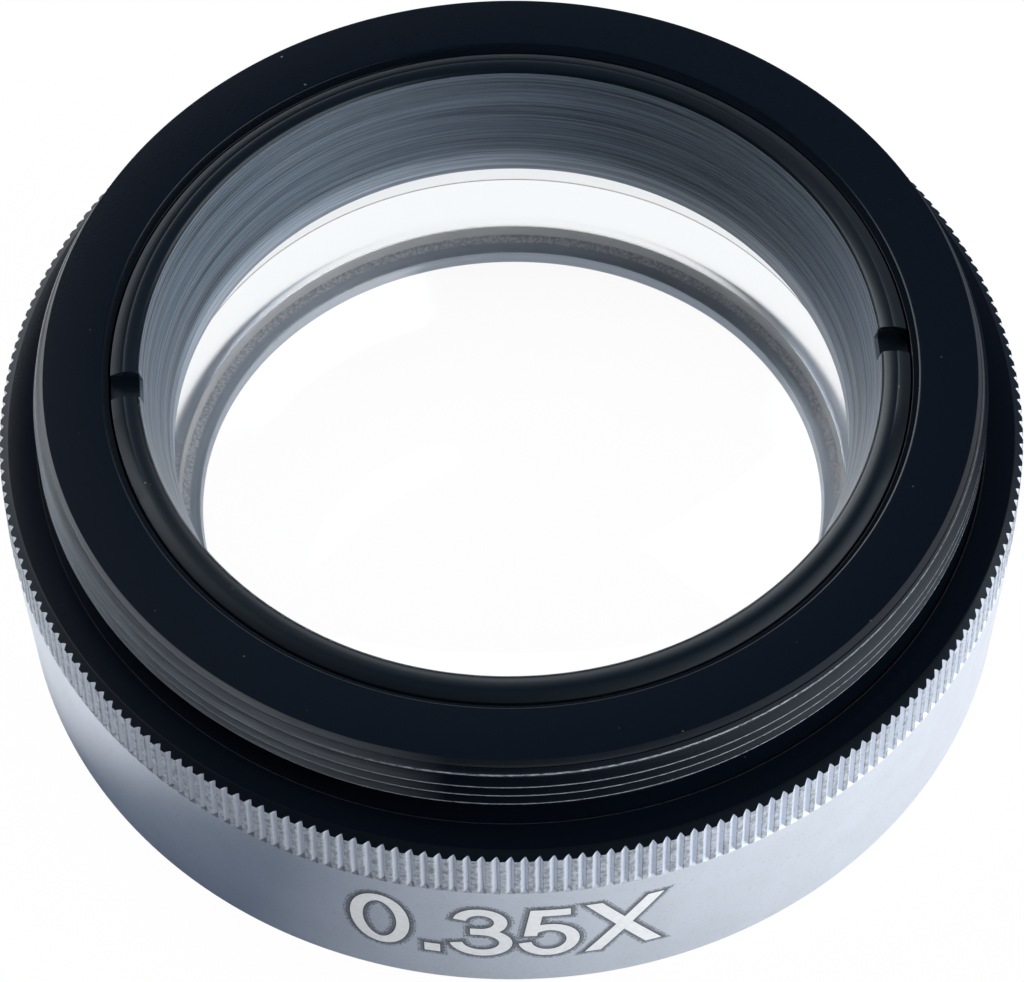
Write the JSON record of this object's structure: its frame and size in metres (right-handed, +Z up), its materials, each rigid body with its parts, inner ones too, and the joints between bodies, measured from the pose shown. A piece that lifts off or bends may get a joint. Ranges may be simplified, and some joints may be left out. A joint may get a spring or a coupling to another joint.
{
  "type": "microscope auxiliary objective",
  "caption": "Screw-in auxiliary objective for a stereo microscope: silver body, black threaded boss, knurled flange, slotted retaining ring and a cemented negative lens.",
  "frame": {"origin": "centre of the flat lower face, on the optical axis", "axes": "+Z runs up the optical axis out of the threaded end; the axis of the two spanner slots lies a few degrees round from +X"},
  "size_m": [0.052, 0.052, 0.0179],
  "materials": {
    "housing_finish": "satin",
    "ring_black": "satin",
    "lens_glass": "polished"
  },
  "bodies": {
    "root": {"housing": "housing_finish", "retaining_ring": "ring_black", "upper_lens": "lens_glass", "lower_lens": "lens_glass"}
  },
  "joints": []
}
